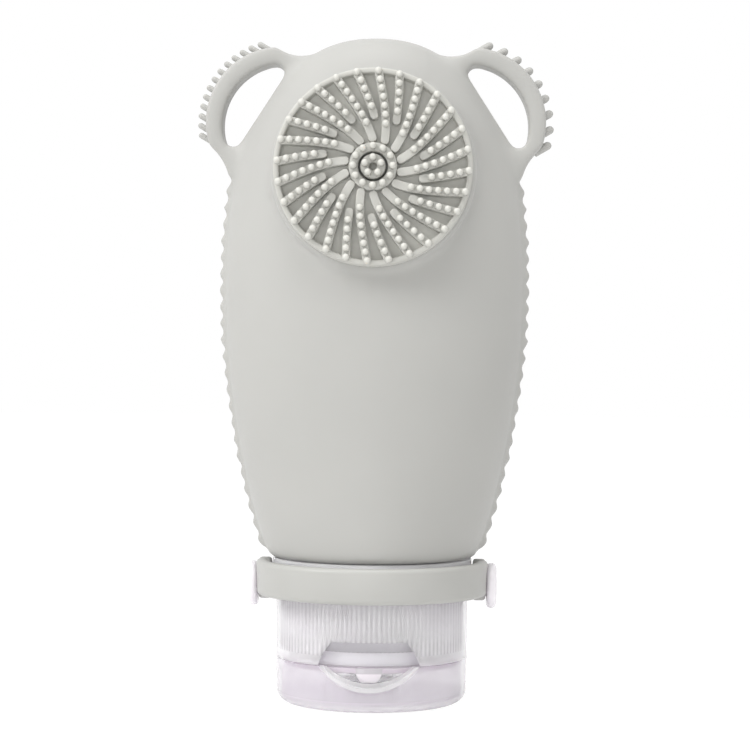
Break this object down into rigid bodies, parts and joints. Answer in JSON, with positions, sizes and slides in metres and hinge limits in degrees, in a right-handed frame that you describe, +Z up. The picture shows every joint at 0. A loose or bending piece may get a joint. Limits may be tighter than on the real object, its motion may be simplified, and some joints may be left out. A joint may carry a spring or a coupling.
{
  "type": "travel silicone bottle",
  "caption": "Soft squeeze travel bottle standing on its flip cap, with a round scrubbing pad on the front, toothed sides and two looped ears with pins.",
  "frame": {"origin": "centre of the lid's flat outer face, on which the bottle stands", "axes": "+Z up from the lid to the bottle's crown, -Y towards the front with the scrubbing pad, X across the ears"},
  "size_m": [0.0749, 0.0459, 0.1386],
  "materials": {
    "body_silicone": "matte silicone",
    "pad_silicone": "matte silicone",
    "button_silicone": "matte silicone",
    "strap_silicone": "satin silicone",
    "collar_plastic": "translucent satin",
    "pin_plastic": "milky white",
    "cap_plastic": "translucent satin",
    "lid_plastic": "translucent satin",
    "valve_silicone": "clear soft silicone",
    "gasket_rubber": "white soft seal"
  },
  "bodies": {
    "bottle": {"bottle_body": "body_silicone", "brush_pad": "pad_silicone", "brush_button": "button_silicone", "neck_collar": "collar_plastic", "strap_pin_left": "pin_plastic", "strap_pin_right": "pin_plastic"},
    "strap": {"carry_strap": "strap_silicone"},
    "gasket": {"cap_gasket": "gasket_rubber"},
    "cap": {"cap_base": "cap_plastic", "slit_valve": "valve_silicone", "valve_retainer": "cap_plastic"},
    "lid": {"flip_lid": "lid_plastic"}
  },
  "joints": [
    {"name": "strap_swing", "type": "hinge", "parent": "bottle", "child": "strap", "pos_m": [0, 0, 0.0242], "axis": [1, 0, 0], "range_deg": [0, 15]},
    {"name": "cap_turn", "type": "hinge", "parent": "gasket", "child": "cap", "pos_m": [0, 0, 0.0158], "axis": [0, 0, 1], "range_deg": [0, 720]},
    {"name": "cap_lift", "type": "slide", "parent": "bottle", "child": "gasket", "axis": [0, 0, -1], "range_m": [0, 0.008]},
    {"name": "lid_flip", "type": "hinge", "parent": "cap", "child": "lid", "pos_m": [0, 0.02045, 0.00937], "axis": [1, 0, 0], "range_deg": [0, 135]}
  ],
  "couplings": [
    {"joint": "cap_lift", "follows": "cap_turn", "m_per_rad": 0.00063662}
  ]
}
